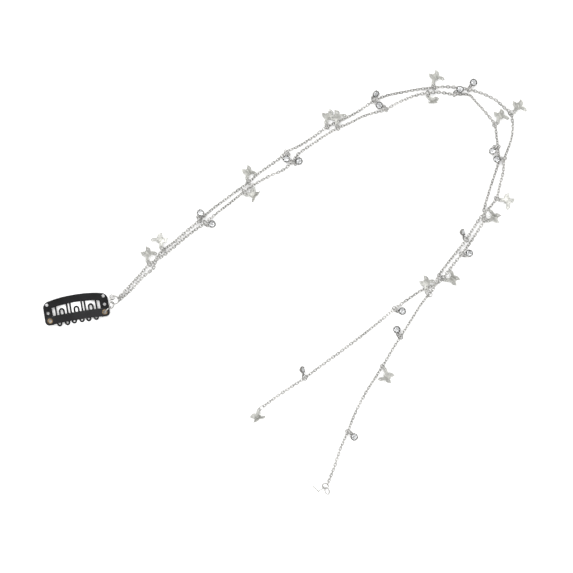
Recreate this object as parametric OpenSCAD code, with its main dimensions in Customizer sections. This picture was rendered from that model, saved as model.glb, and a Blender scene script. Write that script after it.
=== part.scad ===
// Hair chain: a black snap comb clip with two fine cable chains on one of its
// eyelets, each strung with openwork butterflies and round crystal drops.
// Millimetres. The chain lies on a surface at z = 0, +X right, +Y up the sheet.

/* [Comb clip] */
// Length of the clip over its end plates
clip_len = 31.5; // [30:0.5:34]
// Thickness of the sprung sheet of frame and bar
clip_t = 0.35; // [0.3:0.01:0.36]
// Diameter of the four sewing holes
sew_d = 1.5; // [1.2:0.1:1.6]
// Bore of the two brass eyelets
eyelet_bore = 1.5; // [1.5:0.05:1.6]
// Width of one comb wire
wire_w = 0.8; // [0.7:0.05:0.9]

/* [Chain] */
// Width across the flats of the chain where it is shown as one tube
chain_w = 1.38; // [1.3:0.02:1.4]

/* [Jump rings] */
// Wire of the small jump rings that hold the charms
ring_wire = 0.42; // [0.36:0.02:0.42]
// Wire of the three large rings at the clip
link_wire = 0.5; // [0.45:0.05:0.55]

/* [Butterflies] */
// Thickness of the stamped butterfly plate
fly_t = 0.4; // [0.3:0.02:0.44]
// Diameter of the round body along the middle
fly_body = 0.8; // [0.7:0.05:0.8]

/* [Crystal drops] */
// Outer diameter of the claw cup
cup_d = 3.5; // [3.4:0.05:3.6]
// Diameter of the stone at its girdle
stone_d = 2.78; // [2.6:0.02:2.78]

/* [Hidden] */
$fn = 48;
grid = 0.482;                    // one step of the layout sheet
sheet = [285.6, 281];             // layout position of the origin, right and down

// A layout row as a point in millimetres
function at(r) = [(r[0] - sheet[0]) * grid, (sheet[1] - r[1]) * grid, r[2]];
function dir(a) = [cos(a), sin(a), 0];
function unit(v) = v / norm(v);

// ---------- the two chains: right, down, height of the axis ----------
lie = 0.8;                       // height of the axis where the chain lies flat
hang = 1.38;                     // height where a jump ring goes round it
rise = 2.0;                      // height on the way up to a crossing
over = 2.7;                      // height where one chain crosses the other

route_a = [
    [119.6, 296.8, lie], [129, 286.3, lie], [140, 274.2, lie], [149.5, 264, hang],
    [155.5, 260, lie], [164, 255, lie], [176, 245, lie], [190, 233.5, lie],
    [205, 222.6, hang], [218, 211.8, lie], [231, 201.7, lie], [244, 191.4, hang],
    [256, 182.8, lie], [270, 175, lie], [283, 169.3, lie], [292.5, 161.2, hang],
    [297.5, 154, lie], [304, 148.8, lie], [315, 141.5, lie], [327, 133.5, lie], [338, 127.3, hang],
    [350, 122, lie], [362, 115.8, lie], [373, 112, lie], [386, 108.6, hang],
    [396, 102.5, lie], [409, 96.8, lie], [420, 93, lie], [428.5, 91.8, hang],
    [441, 91, lie], [450, 92.5, lie], [455, 93.3, hang], [460, 93, lie],
    [470.5, 94, lie], [476, 99.8, lie], [484, 108.5, lie], [491, 117, lie],
    [495.5, 124, hang], [497.2, 135, lie], [498.4, 146, hang], [499.3, 160, lie],
    [496.5, 170, lie], [491.5, 185, lie], [487, 199, lie], [484.3, 209.5, lie],
    [484.6, 219.5, hang], [478.8, 229.5, lie], [471.8, 240.5, lie], [461.8, 254, hang],
    [452.5, 265.5, lie], [443, 278, hang], [437.5, 283.2, lie], [431, 286.5, lie],
    [422, 290, lie], [409, 298.5, lie], [394.5, 308.8, hang], [380, 321, lie],
    [366, 332.3, lie], [352, 343, lie], [338, 353.5, lie], [323, 364.3, lie],
    [304.7, 378, hang], [291, 387, lie], [277, 396.3, lie], [264.5, 405.5, lie]];

route_b = [
    [120.6, 301.3, lie], [131.8, 289.3, lie], [142.8, 277, lie], [153.2, 268.2, lie],
    [154.8, 263.8, rise], [156.4, 259.4, over], [158.6, 255.2, rise], [163.3, 250, hang],
    [175, 240.7, lie], [188, 229.3, lie], [199.3, 220.2, hang], [212, 208.8, lie],
    [224, 199.7, lie], [236, 190.7, lie], [248.5, 182, hang], [258, 173.3, lie],
    [270, 164.5, lie], [279, 158, lie], [286.3, 151.2, hang], [298, 145.5, lie],
    [312, 136.8, lie], [327.5, 125.8, hang], [337, 121.4, lie], [348, 116, lie],
    [360, 109.2, lie], [374.5, 99.6, hang], [387, 94.3, lie], [402, 91, lie],
    [418, 88, lie], [434.5, 86.3, hang], [446, 85.3, lie], [458, 85.8, lie],
    [470, 88.3, hang], [484, 92.5, lie], [497, 99, lie], [505.5, 106.5, lie],
    [511.5, 112, hang], [513.7, 124, lie], [512.3, 137, lie], [508, 150, lie],
    [504.8, 158.5, hang], [504, 170, lie], [500.8, 183, lie], [496.7, 198, hang],
    [491, 206, lie], [487.6, 210, rise], [484.4, 213.6, over], [480.8, 217.2, rise],
    [476.8, 222.8, lie], [472, 230.5, lie], [466.3, 239.5, hang], [457, 251.3, lie],
    [446.5, 264.5, lie], [438.6, 275.5, lie], [436.8, 280, rise], [435, 284.8, over],
    [433, 289.5, rise], [429, 294, hang], [421, 304.5, lie], [412, 318.5, lie],
    [400.3, 337, hang], [392, 350, lie], [382, 366.8, hang], [374.5, 378.5, lie],
    [364.5, 394.5, lie], [355, 413, lie], [347.5, 431.5, hang], [340, 449, lie],
    [334, 467, lie], [328, 483, lie]];

// ---------- the charms ----------
// butterflies: chain row, way the ring leads off, how far it stands up, its
// radius, its lean; way the head points, wing that hangs (1 right, -1 left),
// fold of the wings, slope of the hung wing, pitch
flies_a = [
    [3, 126, 0, 1.5, 35, -45, 1, 28, 20.4, 0],
    [11, -55, 0, 1.5, 35, 229, 1, 38, 20.4, 0],
    [20, 100, 26, 1.5, 35, -39, 1, 16, 3, 0],
    [28, -90, 4, 1.5, 35, 180, 1, 50, 22.6, 0],
    [37, 38, 0, 1.5, 35, -64, 1, 32, 20.4, 0],
    [45, -17, 0, 1.5, 35, 164, -1, 35, 20.4, 0],
    [50, -38, 8, 1.5, 35, 146, -1, 37, 25, 0],
    [64, 218, 0, 1.5, 35, 32, -1, 40, 20.4, 0]];
flies_b = [
    [7, 132, 5, 1.5, 35, -133, -1, 27, 23.2, 0],
    [14, 115, 8, 1.5, 35, -55, 1, 36, 25, 0],
    [21, 112, 0, 1.5, 35, -62, 1, 14, 20.4, 0],
    [29, 100, 8, 1.5, 35, -61, 1, 30, 25, 0],
    [36, 12, 0, 1.5, 35, -77, 1, 28, 20.4, 0],
    [43, -28, 0, 1.57, 35, -134, 1, 25, 20.4, 0],
    [57, 122, 15, 2.0, 35, -40, 1, 27, 10, 12],
    [62, -45, 0, 1.5, 35, 155, 1, 26, 20.4, 0]];
// drops: chain row, way the ring leads off, how far it stands up, its radius,
// its lean; way from the eye to the cup, roll, pitch
drops_a = [
    [8, -50, 0, 1.5, 35, 20, 0, 0], [15, -40, 3, 1.5, 35, 40, 8, 0],
    [24, 115, 0, 1.5, 35, 168, 0, 0], [31, 60, 45, 1.5, 35, 28, 10, -15],
    [39, 180, 5, 1.5, 35, 250, 15, 0], [48, -26, 3, 1.5, 35, 28, -8, 0],
    [55, -40, 0, 1.5, 35, 0, 0, 0], [61, 114, 9, 1.5, 35, 97, 65, 0]];
drops_b = [
    [10, 115, 3, 1.5, 35, 60, -8, 0], [18, -50, 3, 1.5, 35, -120, 8, 0],
    [25, 115, 6, 1.5, 35, 46, 45, 0], [32, 70, 2, 1.5, 35, 50, 5, 0],
    [40, 172, 45, 1.6, 35, 190, 12, -7], [50, 136, 9, 1.5, 35, 98, 65, 0],
    [60, 138, 3, 1.5, 35, 100, 8, 0], [66, -25, 2, 1.5, 35, -50, 5, 0]];

ring_out = 0.3;                  // middle of a jump ring beside the chain
ring_gap = 0.14;                 // room between a chain end and its ring

// Middle of a ring that stands up by e and leans by t, resting just above zero
function mid_z(c) = ring_wire / 2
    + c[3] * sqrt(pow(sin(c[2]), 2) + pow(cos(c[4]) * cos(c[2]), 2));
function out(route, c) = c[0] == len(route) - 1 ? c[3] + ring_wire / 2 + ring_gap : ring_out;
function flat(p) = [p[0], p[1], 0];
function ring_mid(route, c) = flat(at(route[c[0]])) + out(route, c) * dir(c[1]) + [0, 0, mid_z(c)];
// Far point of the ring, where the charm hangs
function hook(route, c) = ring_mid(route, c) + c[3] * (cos(c[2]) * dir(c[1]) + [0, 0, sin(c[2])]);

// ---------- chain tube ----------
function tangent(p, i) = unit(p[min(i + 1, len(p) - 1)] - p[max(i - 1, 0)]);

module chain(route) {
    p = [for (r = route) at(r)];
    n = len(p);
    k = chain_w / 2 / cos(22.5);
    rings = [for (i = [0:n - 1])
        let (t = tangent(p, i), s = unit(cross([0, 0, 1], t)), u = cross(t, s))
        for (j = [0:7]) p[i] + k * (cos(j * 45 + 22.5) * s + sin(j * 45 + 22.5) * u)];
    color("silver")
    polyhedron(rings, concat(
        [[for (j = [0:7]) j]],
        [for (i = [0:n - 2]) for (j = [0:7]) [i * 8 + (j + 1) % 8, i * 8 + j, (i + 1) * 8 + j, (i + 1) * 8 + (j + 1) % 8]],
        [[for (j = [7:-1:0]) (n - 1) * 8 + j]]), convexity = 10);
}

module torus(r, w) rotate_extrude() translate([r, 0]) circle(d = w, $fn = 24);

// One jump ring, leaning along the chain to side s
module jump_ring(route, c, s)
    translate(ring_mid(route, c)) rotate([0, 0, c[1]]) rotate([0, -c[2], 0])
        rotate([90 - s * c[4], 0, 0]) torus(c[3], ring_wire);

// Side to which the ring leans, so that its wire goes straight through the eye
function side_of(v, c) = (v * dir(c[1] + 90)) >= 0 ? 1 : -1;
function fly_side(c) = side_of(-c[6] * dir(c[5] - 90), c);
function drop_side(c) = side_of(-sin(c[6]) * dir(c[5] + 90), c);

// ---------- butterfly ----------
fly_eye = [2.95, 2.3];           // hole near the tip of a forewing, flat

// Outline of two circles and their common tangents
module blade(p0, r0, p1, r1) {
    d = p1 - p0;
    a = atan2(d[1], d[0]);
    b = acos((r0 - r1) / norm(d));
    translate(p0) circle(r0);
    translate(p1) circle(r1);
    polygon([p0 + r0 * [cos(a + b), sin(a + b)], p1 + r1 * [cos(a + b), sin(a + b)],
        p1 + r1 * [cos(a - b), sin(a - b)], p0 + r0 * [cos(a - b), sin(a - b)]]);
}

module wing() {
    difference() {
        union() {
            blade([0.5, 0.5], 0.7, fly_eye, 1.0);
            blade([0.5, -0.3], 0.6, [1.6, -1.45], 1.05);
            polygon([[0.75, -2.1], [2.62, -1.6], [2.15, -3.45]]);
            polygon([[2.4, 3.14], [3.85, 1.86], [3.95, 3.2]]);
        }
        translate(fly_eye) circle(0.6);
        blade([1.3, 1.02], 0.18, [1.72, 1.36], 0.26);
        blade([1.5, -1.25], 0.24, [1.75, -1.62], 0.28);
        translate([-2, -4]) square([2, 9]);
    }
}

// The whole plate, folded up along the body, head to +Y
module butterfly(fold) {
    for (m = [0, 1]) mirror([m, 0, 0]) rotate([0, -fold, 0])
        translate([0, 0, -fly_t / 2]) linear_extrude(fly_t) wing();
    rotate([-90, 0, 0]) translate([0, 0, -1.7]) cylinder(d = fly_body, h = 2.9);
    for (y = [-1.7, 1.2]) translate([0, y, 0]) sphere(d = fly_body);
}

module hung_fly(route, c) {
    e = fly_eye[0];
    color("silver")
    translate(hook(route, c)) rotate([0, 0, c[5] - 90]) rotate([c[9], 0, 0])
        translate([-c[6] * e * cos(c[8]), -fly_eye[1], -e * sin(c[8])])
        rotate([0, c[6] * (c[7] - c[8]), 0]) butterfly(c[7]);
}

// ---------- crystal drop ----------
drop_reach = 2.35;               // eye to the middle of the cup
drop_eye_z = 1.41;               // eye over the foot of the cup
cup_r = cup_d / 2;

module setting() {
    translate([drop_reach, 0, -drop_eye_z]) rotate_extrude()
        polygon([[0, 0], [0.75, 0], [cup_r - 0.2, 1.0], [cup_r, 1.25], [cup_r, 1.65],
            [cup_r - 0.25, 1.65], [cup_r - 0.25, 1.32], [0.5, 0.3], [0, 0.3]]);
    torus(0.65, 0.35);
    translate([drop_reach, 0, -drop_eye_z]) for (a = [45:90:315]) rotate([0, 0, a])
        translate([cup_r - 0.21, 0, 1.75]) sphere(r = 0.27, $fn = 24);
}

module stone()
    translate([drop_reach, 0, -drop_eye_z]) rotate_extrude()
        polygon([[0, 0.42], [stone_d / 2, 1.42], [stone_d / 2, 1.52], [0.8, 1.98], [0, 1.98]]);

module hung(route, c)
    translate(hook(route, c)) rotate([0, 0, c[5]]) rotate([0, c[7], 0]) rotate([c[6], 0, 0]) children();

// ---------- the last butterfly, standing on its head like an open book ----------
end_foot = at([318.2, 491, 3.35]);
end_fold = 40;
end_turn = 86;                   // way the book opens
end_link = [69, -139, 12, 1.43, 75];
free_at = at([327, 490.6, 1.5]); // the free ring that closes the end
free_turn = 105;

module end_fly()
    color("silver")
    translate(end_foot) rotate([0, 0, end_turn - 90]) rotate([-90, 0, 0]) butterfly(end_fold);

// ---------- comb clip ----------
clip_at = at([77.75, 316.75, 0]);
clip_turn = 9.4;
half = clip_len / 2;
rivet_x = half - 2.43;
top_r = 59.1;                    // arch of the upper edge
top_y = 10.9;                    // its highest point over the eyelets
corner = 3.2;
foot_y = -2.05;
stack_z = 1.6;                   // middle of the eyelets over the surface
bow = 1.2;                       // how much lower the middle of the clip lies
frame_z = stack_z - clip_t / 2 - 0.03;
bar_z = stack_z + clip_t / 2 + 0.03;

module clip_place() translate(clip_at) rotate([0, 0, clip_turn]) children();

// How far the sheet dips at x, level at its ends
function dip(x) = abs(x) > 12.5 ? 0 : bow * (1 + cos(180 * x / 12.5)) / 2;

// Side view of one bowed sheet, middle line at height z at its ends
module side_view(z) polygon(concat(
    [for (i = [-12:12]) [1.4 * i, z - dip(1.4 * i) - clip_t / 2]],
    [for (i = [12:-1:-12]) [1.4 * i, z - dip(1.4 * i) + clip_t / 2]]));

module bowed(z) intersection() {
    translate([0, 0, -1]) linear_extrude(6) children();
    rotate([90, 0, 0]) translate([0, 0, -14]) linear_extrude(28) side_view(z);
}

// Corner circles of the outline
corner_x = half - corner;
arch_c = top_y - top_r;
corner_y = arch_c + sqrt(pow(top_r - corner, 2) - pow(corner_x, 2));

module outline() {
    intersection() {
        translate([0, arch_c]) circle(top_r, $fn = 720);
        polygon([[0, arch_c], [80 * corner_x / (corner_y - arch_c), arch_c + 80], [-80 * corner_x / (corner_y - arch_c), arch_c + 80]]);
        translate([-half, 0]) square([2 * half, 14]);
    }
    for (m = [-1, 1]) {
        translate([m * corner_x, corner_y]) circle(corner, $fn = 96);
        translate([m * (half - 2), foot_y + 2]) circle(2);
    }
    translate([-corner_x, 0]) square([2 * corner_x, corner_y]);
    translate([-half, foot_y + 2]) square([2 * half, corner_y - foot_y - 2]);
    translate([-half + 2, foot_y]) square([2 * half - 4, 3]);
}

// Window over the bar, open below: its upper edge follows the arch
module window() intersection() {
    translate([0, 7.25 - 57]) circle(57, $fn = 720);
    translate([-11.6, -5]) square([23.2, 13]);
}

// One comb unit: two long wires, two bottom loops and an arch between them
module comb_unit(x, y) {
    w = wire_w;
    for (m = [-1, 1]) {
        translate([x + m * 2.75 - w / 2, y + 1.28]) square([w, 7.2 - y - 1.28 + 0.5]);
        translate([x + m * 1.0 - w / 2, y + 1.28]) square([w, 4.05 - y - 1.28]);
        translate([x + m * 1.875, y + 1.28]) intersection() {
            difference() { circle(0.875 + w / 2); circle(0.875 - w / 2); }
            translate([-2, -2]) square([4, 2]);
        }
    }
    translate([x, 4.05]) intersection() {
        difference() { circle(1.0 + w / 2); circle(1.0 - w / 2); }
        translate([-2, 0]) square([4, 2]);
    }
}

module sew_holes() for (m = [-1, 1]) for (h = [[14, 3.85], [14, 7.9]])
    translate([m * (h[0] + half - 16), h[1], -1]) cylinder(d = sew_d, h = 6);

module rivet_holes() for (m = [-1, 1]) translate([m * rivet_x, 0, -1]) cylinder(d = eyelet_bore + 0.5, h = 6);

module clip_frame() color([0.08, 0.08, 0.085]) clip_place() difference() {
    bowed(frame_z) {
        difference() { outline(); window(); }
        intersection() {
            union() { comb_unit(-7.1, -3.3); comb_unit(0, -3.0); comb_unit(7, -3.1); }
            translate([0, 7.25 - 57]) circle(57.6, $fn = 720);
        }
    }
    sew_holes();
    rivet_holes();
}

module clip_bar() color([0.1, 0.1, 0.105]) clip_place() difference() {
    bowed(bar_z) {
        intersection() {
            translate([-rivet_x, -4]) square([2 * rivet_x, 8]);
            translate([0, 2.45 - 230]) circle(230, $fn = 1440);
            difference() {
                translate([-20, -4]) square([40, 8]);
                translate([0, -1.4 - 141]) circle(141, $fn = 1440);
            }
        }
        for (m = [-1, 1]) translate([m * rivet_x, 0]) circle(2.1);
    }
    rivet_holes();
}

// Brass eyelet: a tube with a rolled flange at both ends
module eyelet() color([0.72, 0.55, 0.28]) {
    r = eyelet_bore / 2;
    h = 2 * clip_t + 0.3;
    rotate_extrude() polygon([[r, -h / 2], [r + 0.4, -h / 2], [r + 0.5, -h / 2 + 0.05], [r + 0.5, -h / 2 + 0.1],
        [r + 0.2, -h / 2 + 0.1], [r + 0.2, h / 2 - 0.1], [r + 0.5, h / 2 - 0.1], [r + 0.5, h / 2 - 0.05], [r + 0.4, h / 2], [r, h / 2]]);
}
module eyelet_left() clip_place() translate([-rivet_x, 0, stack_z]) eyelet();
module eyelet_right() clip_place() translate([rivet_x, 0, stack_z]) eyelet();

// ---------- the three large rings between clip and chains ----------
lead = 41;                       // way the eyelet ring leads off
big_r = 2.0;
eye_xy = clip_at + rivet_x * dir(clip_turn) + [0, 0, stack_z];
eye_in = 20;                     // slope at which its wire goes through the bore
ring_c1 = eye_xy + big_r * (cos(eye_in) * dir(lead) + [0, 0, sin(eye_in)]);
mid_r = 1.6;
mid_lead = 58;
near_2 = eye_xy + (big_r * (1 + cos(eye_in)) - 0.65) * dir(lead);
ring_c2 = [near_2[0], near_2[1], 1.69] + 1.55 * dir(mid_lead);
ring_c3 = [near_2[0], near_2[1], 0.85] + 2.44 * dir(mid_lead) + big_r * dir(61);

module eyelet_ring() color("silver") translate(ring_c1) rotate([0, 0, lead]) rotate([90, 0, 0]) torus(big_r, link_wire);
module middle_ring() color("silver") translate(ring_c2) rotate([0, 0, mid_lead]) rotate([0, 15, 0]) rotate([50, 0, 0]) torus(mid_r, ring_wire);
module gather_ring() color("silver") translate(ring_c3) rotate([0, 0, 61]) rotate([0, 13, 0]) torus(big_r, link_wire);

// ---------- rings in two sets, with the free ones at the chain ends ----------
module jump_rings_a() color("silver") {
    for (c = flies_a) jump_ring(route_a, c, fly_side(c));
    for (c = drops_a) jump_ring(route_a, c, drop_side(c));
}
module jump_rings_b() color("silver") {
    for (c = flies_b) jump_ring(route_b, c, fly_side(c));
    for (c = drops_b) jump_ring(route_b, c, drop_side(c));
    jump_ring(route_b, end_link, 1);
    translate(free_at) rotate([0, 0, free_turn]) rotate([50, 0, 0]) torus(1.6, ring_wire);
}
module stones_a() color([0.9, 0.94, 0.98]) for (c = drops_a) hung(route_a, c) stone();
module stones_b() color([0.9, 0.94, 0.98]) for (c = drops_b) hung(route_b, c) stone();
module drop(route, c) color("silver") hung(route, c) setting();

clip_frame();
clip_bar();
eyelet_left();
eyelet_right();
eyelet_ring();
middle_ring();
gather_ring();
chain(route_a);  // chain_strand_a
chain(route_b);  // chain_strand_b
jump_rings_a();
jump_rings_b();
hung_fly(route_a, flies_a[0]);  // butterfly_a1
hung_fly(route_a, flies_a[1]);  // butterfly_a2
hung_fly(route_a, flies_a[2]);  // butterfly_a3
hung_fly(route_a, flies_a[3]);  // butterfly_a4
hung_fly(route_a, flies_a[4]);  // butterfly_a5
hung_fly(route_a, flies_a[5]);  // butterfly_a6
hung_fly(route_a, flies_a[6]);  // butterfly_a7
hung_fly(route_a, flies_a[7]);  // butterfly_a8
hung_fly(route_b, flies_b[0]);  // butterfly_b1
hung_fly(route_b, flies_b[1]);  // butterfly_b2
hung_fly(route_b, flies_b[2]);  // butterfly_b3
hung_fly(route_b, flies_b[3]);  // butterfly_b4
hung_fly(route_b, flies_b[4]);  // butterfly_b5
hung_fly(route_b, flies_b[5]);  // butterfly_b6
hung_fly(route_b, flies_b[6]);  // butterfly_b7
hung_fly(route_b, flies_b[7]);  // butterfly_b8
end_fly();  // butterfly_b9
drop(route_a, drops_a[0]);  // drop_a1
drop(route_a, drops_a[1]);  // drop_a2
drop(route_a, drops_a[2]);  // drop_a3
drop(route_a, drops_a[3]);  // drop_a4
drop(route_a, drops_a[4]);  // drop_a5
drop(route_a, drops_a[5]);  // drop_a6
drop(route_a, drops_a[6]);  // drop_a7
drop(route_a, drops_a[7]);  // drop_a8
drop(route_b, drops_b[0]);  // drop_b1
drop(route_b, drops_b[1]);  // drop_b2
drop(route_b, drops_b[2]);  // drop_b3
drop(route_b, drops_b[3]);  // drop_b4
drop(route_b, drops_b[4]);  // drop_b5
drop(route_b, drops_b[5]);  // drop_b6
drop(route_b, drops_b[6]);  // drop_b7
drop(route_b, drops_b[7]);  // drop_b8
stones_a();
stones_b();
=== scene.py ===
import bpy, bmesh, math
from math import sin, cos, pi, radians, sqrt, atan2, acos, hypot
from mathutils import Vector, Matrix


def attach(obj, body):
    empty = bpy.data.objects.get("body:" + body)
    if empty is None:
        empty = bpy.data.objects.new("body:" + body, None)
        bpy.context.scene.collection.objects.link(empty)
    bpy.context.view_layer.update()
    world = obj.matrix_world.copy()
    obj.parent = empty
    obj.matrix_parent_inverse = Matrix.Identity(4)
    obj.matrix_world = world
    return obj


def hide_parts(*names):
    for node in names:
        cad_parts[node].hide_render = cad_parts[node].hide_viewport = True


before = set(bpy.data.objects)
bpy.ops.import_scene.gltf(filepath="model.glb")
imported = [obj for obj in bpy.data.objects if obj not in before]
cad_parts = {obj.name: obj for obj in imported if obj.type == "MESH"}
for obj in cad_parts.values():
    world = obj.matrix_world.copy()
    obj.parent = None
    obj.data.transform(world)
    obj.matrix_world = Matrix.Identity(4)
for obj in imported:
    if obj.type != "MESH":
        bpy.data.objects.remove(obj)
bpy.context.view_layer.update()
MM = 0.001

# ---------------------------------------------------------------- layout, as in the part
GRID = 0.482
SHEET = [285.6, 281]
LIE, HANG, RISE, OVER = 0.8, 1.38, 2.0, 2.7
RING_WIRE, LINK_WIRE = 0.42, 0.5
RING_OUT, RING_GAP = 0.3, 0.14
CLIP_T = 0.35

ROUTE_A = [
    [119.6, 296.8, LIE], [129, 286.3, LIE], [140, 274.2, LIE], [149.5, 264, HANG],
    [155.5, 260, LIE], [164, 255, LIE], [176, 245, LIE], [190, 233.5, LIE],
    [205, 222.6, HANG], [218, 211.8, LIE], [231, 201.7, LIE], [244, 191.4, HANG],
    [256, 182.8, LIE], [270, 175, LIE], [283, 169.3, LIE], [292.5, 161.2, HANG],
    [297.5, 154, LIE], [304, 148.8, LIE], [315, 141.5, LIE], [327, 133.5, LIE], [338, 127.3, HANG],
    [350, 122, LIE], [362, 115.8, LIE], [373, 112, LIE], [386, 108.6, HANG],
    [396, 102.5, LIE], [409, 96.8, LIE], [420, 93, LIE], [428.5, 91.8, HANG],
    [441, 91, LIE], [450, 92.5, LIE], [455, 93.3, HANG], [460, 93, LIE],
    [470.5, 94, LIE], [476, 99.8, LIE], [484, 108.5, LIE], [491, 117, LIE],
    [495.5, 124, HANG], [497.2, 135, LIE], [498.4, 146, HANG], [499.3, 160, LIE],
    [496.5, 170, LIE], [491.5, 185, LIE], [487, 199, LIE], [484.3, 209.5, LIE],
    [484.6, 219.5, HANG], [478.8, 229.5, LIE], [471.8, 240.5, LIE], [461.8, 254, HANG],
    [452.5, 265.5, LIE], [443, 278, HANG], [437.5, 283.2, LIE], [431, 286.5, LIE],
    [422, 290, LIE], [409, 298.5, LIE], [394.5, 308.8, HANG], [380, 321, LIE],
    [366, 332.3, LIE], [352, 343, LIE], [338, 353.5, LIE], [323, 364.3, LIE],
    [304.7, 378, HANG], [291, 387, LIE], [277, 396.3, LIE], [264.5, 405.5, LIE]]
ROUTE_B = [
    [120.6, 301.3, LIE], [131.8, 289.3, LIE], [142.8, 277, LIE], [153.2, 268.2, LIE],
    [154.8, 263.8, RISE], [156.4, 259.4, OVER], [158.6, 255.2, RISE], [163.3, 250, HANG],
    [175, 240.7, LIE], [188, 229.3, LIE], [199.3, 220.2, HANG], [212, 208.8, LIE],
    [224, 199.7, LIE], [236, 190.7, LIE], [248.5, 182, HANG], [258, 173.3, LIE],
    [270, 164.5, LIE], [279, 158, LIE], [286.3, 151.2, HANG], [298, 145.5, LIE],
    [312, 136.8, LIE], [327.5, 125.8, HANG], [337, 121.4, LIE], [348, 116, LIE],
    [360, 109.2, LIE], [374.5, 99.6, HANG], [387, 94.3, LIE], [402, 91, LIE],
    [418, 88, LIE], [434.5, 86.3, HANG], [446, 85.3, LIE], [458, 85.8, LIE],
    [470, 88.3, HANG], [484, 92.5, LIE], [497, 99, LIE], [505.5, 106.5, LIE],
    [511.5, 112, HANG], [513.7, 124, LIE], [512.3, 137, LIE], [508, 150, LIE],
    [504.8, 158.5, HANG], [504, 170, LIE], [500.8, 183, LIE], [496.7, 198, HANG],
    [491, 206, LIE], [487.6, 210, RISE], [484.4, 213.6, OVER], [480.8, 217.2, RISE],
    [476.8, 222.8, LIE], [472, 230.5, LIE], [466.3, 239.5, HANG], [457, 251.3, LIE],
    [446.5, 264.5, LIE], [438.6, 275.5, LIE], [436.8, 280, RISE], [435, 284.8, OVER],
    [433, 289.5, RISE], [429, 294, HANG], [421, 304.5, LIE], [412, 318.5, LIE],
    [400.3, 337, HANG], [392, 350, LIE], [382, 366.8, HANG], [374.5, 378.5, LIE],
    [364.5, 394.5, LIE], [355, 413, LIE], [347.5, 431.5, HANG], [340, 449, LIE],
    [334, 467, LIE], [328, 483, LIE]]
FLIES_A = [
    [3, 126, 0, 1.5, 35, -45, 1, 28, 20.4, 0],
    [11, -55, 0, 1.5, 35, 229, 1, 38, 20.4, 0],
    [20, 100, 26, 1.5, 35, -39, 1, 16, 3, 0],
    [28, -90, 4, 1.5, 35, 180, 1, 50, 22.6, 0],
    [37, 38, 0, 1.5, 35, -64, 1, 32, 20.4, 0],
    [45, -17, 0, 1.5, 35, 164, -1, 35, 20.4, 0],
    [50, -38, 8, 1.5, 35, 146, -1, 37, 25, 0],
    [64, 218, 0, 1.5, 35, 32, -1, 40, 20.4, 0]]
FLIES_B = [
    [7, 132, 5, 1.5, 35, -133, -1, 27, 23.2, 0],
    [14, 115, 8, 1.5, 35, -55, 1, 36, 25, 0],
    [21, 112, 0, 1.5, 35, -62, 1, 14, 20.4, 0],
    [29, 100, 8, 1.5, 35, -61, 1, 30, 25, 0],
    [36, 12, 0, 1.5, 35, -77, 1, 28, 20.4, 0],
    [43, -28, 0, 1.57, 35, -134, 1, 25, 20.4, 0],
    [57, 122, 15, 2.0, 35, -40, 1, 27, 10, 12],
    [62, -45, 0, 1.5, 35, 155, 1, 26, 20.4, 0]]
DROPS_A = [
    [8, -50, 0, 1.5, 35, 20, 0, 0], [15, -40, 3, 1.5, 35, 40, 8, 0],
    [24, 115, 0, 1.5, 35, 168, 0, 0], [31, 60, 45, 1.5, 35, 28, 10, -15],
    [39, 180, 5, 1.5, 35, 250, 15, 0], [48, -26, 3, 1.5, 35, 28, -8, 0],
    [55, -40, 0, 1.5, 35, 0, 0, 0], [61, 114, 9, 1.5, 35, 97, 65, 0]]
DROPS_B = [
    [10, 115, 3, 1.5, 35, 60, -8, 0], [18, -50, 3, 1.5, 35, -120, 8, 0],
    [25, 115, 6, 1.5, 35, 46, 45, 0], [32, 70, 2, 1.5, 35, 50, 5, 0],
    [40, 172, 45, 1.6, 35, 190, 12, -7], [50, 136, 9, 1.5, 35, 98, 65, 0],
    [60, 138, 3, 1.5, 35, 100, 8, 0], [66, -25, 2, 1.5, 35, -50, 5, 0]]
FLY_EYE = (2.95, 2.3)


def at(r):
    return Vector(((r[0] - SHEET[0]) * GRID, (SHEET[1] - r[1]) * GRID, r[2]))


def way(a):
    return Vector((cos(radians(a)), sin(radians(a)), 0))


def T(v):
    return Matrix.Translation(Vector(v))


def R(axis, a):
    return Matrix.Rotation(radians(a), 4, axis)


def mid_z(c):
    return RING_WIRE / 2 + c[3] * sqrt(sin(radians(c[2])) ** 2 + (cos(radians(c[4])) * cos(radians(c[2]))) ** 2)


def ring_mid(route, c):
    p = at(route[c[0]])
    out = c[3] + RING_WIRE / 2 + RING_GAP if c[0] == len(route) - 1 else RING_OUT
    return Vector((p.x, p.y, 0)) + out * way(c[1]) + Vector((0, 0, mid_z(c)))


def lead_of(c):
    return cos(radians(c[2])) * way(c[1]) + Vector((0, 0, sin(radians(c[2]))))


def hook(route, c):
    return ring_mid(route, c) + c[3] * lead_of(c)


def side_of(v, c):
    return 1 if v.dot(way(c[1] + 90)) >= 0 else -1


# ---------------------------------------------------------------- mesh helpers (all in mm)
class Soup:
    """Vertices and faces of one piece, in millimetres."""

    def __init__(self):
        self.v, self.f, self.s = [], [], []

    def add(self, verts, faces, m=None, smooth=True):
        n = len(self.v)
        flip = m is not None and m.determinant() < 0
        for p in verts:
            p = Vector(p)
            self.v.append(m @ p if m is not None else p)
        for q in faces:
            q = [n + i for i in q]
            self.f.append(q[::-1] if flip else q)
            self.s.append(smooth)

    def build(self, name, mat, slot, *nodes, sharp=35):
        me = bpy.data.meshes.new(name)
        me.from_pydata([(p[0] * MM, p[1] * MM, p[2] * MM) for p in self.v], [], self.f)
        me.polygons.foreach_set("use_smooth", self.s)
        me.materials.append(mat)
        me.update()
        if sharp:
            me.set_sharp_from_angle(angle=radians(sharp))
        ob = bpy.data.objects.new(name, me)
        bpy.context.scene.collection.objects.link(ob)
        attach(ob, "root")
        if nodes:
            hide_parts(*nodes)
        return ob


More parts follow.
